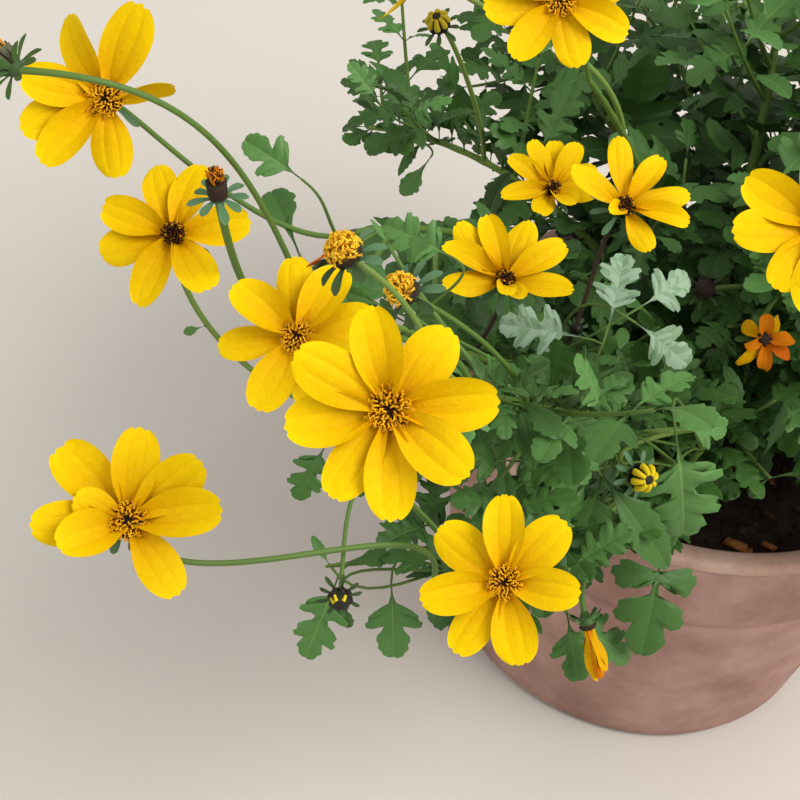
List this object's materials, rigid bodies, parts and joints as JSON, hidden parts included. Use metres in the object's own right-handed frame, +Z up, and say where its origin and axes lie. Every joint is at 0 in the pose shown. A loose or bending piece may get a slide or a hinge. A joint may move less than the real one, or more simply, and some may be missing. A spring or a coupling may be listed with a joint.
{
  "type": "potted bidens",
  "caption": "Potted bidens in a plain round terracotta pot: arching stems from a short crown, lobed green leaves, golden flowers, buds and seed heads.",
  "frame": {"origin": "centre of the pot's flat underside, on the ground", "axes": "+Z up along the pot's axis, -Y towards the front from which the picture was taken, +X to the right"},
  "size_m": [0.4427, 0.4761, 0.3686],
  "materials": {
    "terracotta": "unglazed, matt, dusty pinkish terracotta",
    "compost": "dark crumbly potting compost",
    "crown": "brown-green woody stem",
    "stem": "soft green plant stem",
    "leaf": "matt green leaves with golden flowers"
  },
  "bodies": {
    "root": {"pot": "terracotta", "compost": "compost", "crown": "crown", "left_high_stem": "stem", "left_high_spray": "leaf", "left_arch_stem": "stem", "left_arch_spray": "leaf", "front_high_stem": "stem", "front_high_spray": "leaf", "left_low_stem": "stem", "left_low_spray": "leaf", "front_low_stem": "stem", "front_low_spray": "leaf", "middle_stem": "stem", "middle_spray": "leaf", "back_high_stem": "stem", "back_high_spray": "leaf", "left_back_stem": "stem", "left_back_spray": "leaf", "front_right_high_stem": "stem", "front_right_high_spray": "leaf", "rim_1_stem": "stem", "rim_1_spray": "leaf", "rim_2_stem": "stem", "rim_2_spray": "leaf", "rim_3_stem": "stem", "rim_3_spray": "leaf", "rim_4_stem": "stem", "rim_4_spray": "leaf", "rim_5_stem": "stem", "rim_5_spray": "leaf", "rim_6_stem": "stem", "rim_6_spray": "leaf", "rim_7_stem": "stem", "rim_7_spray": "leaf", "top_1_stem": "stem", "top_1_spray": "leaf", "top_2_stem": "stem", "top_2_spray": "leaf", "top_3_stem": "stem", "top_3_spray": "leaf", "heart_1_spray": "leaf", "heart_2_spray": "leaf", "heart_3_spray": "leaf", "heart_4_spray": "leaf", "heart_5_spray": "leaf"}
  },
  "joints": []
}
